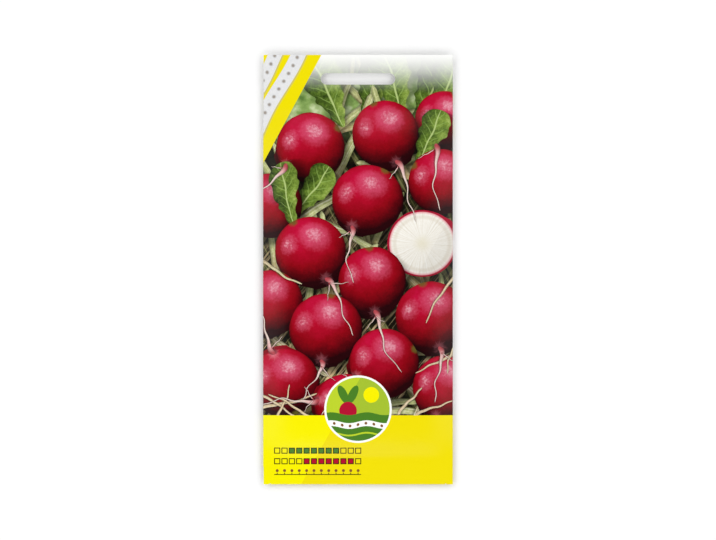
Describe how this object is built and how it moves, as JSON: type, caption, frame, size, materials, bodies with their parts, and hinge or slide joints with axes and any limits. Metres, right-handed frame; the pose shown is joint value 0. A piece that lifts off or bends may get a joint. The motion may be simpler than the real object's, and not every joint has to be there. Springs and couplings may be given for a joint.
{
  "type": "seed packet",
  "caption": "Flat paper seed packet lying on its back, with a hang slot through its header, glued seams and folded seed tape sealed inside.",
  "frame": {"origin": "middle of the packet's outline, on the surface that its back lies on", "axes": "+Z out of the printed front, +Y along the packet towards the header and its hang slot, +X across it"},
  "size_m": [0.08, 0.181, 0.0055],
  "materials": {
    "printed_paper": "satin",
    "dried_glue": "satin",
    "tape_tissue": "matte"
  },
  "bodies": {
    "root": {"paper_bag": "printed_paper", "side_seam_glue": "dried_glue", "bottom_seam_glue": "dried_glue", "header_glue": "dried_glue", "seed_tape_left": "tape_tissue", "seed_tape_middle": "tape_tissue", "seed_tape_right": "tape_tissue"}
  },
  "joints": []
}
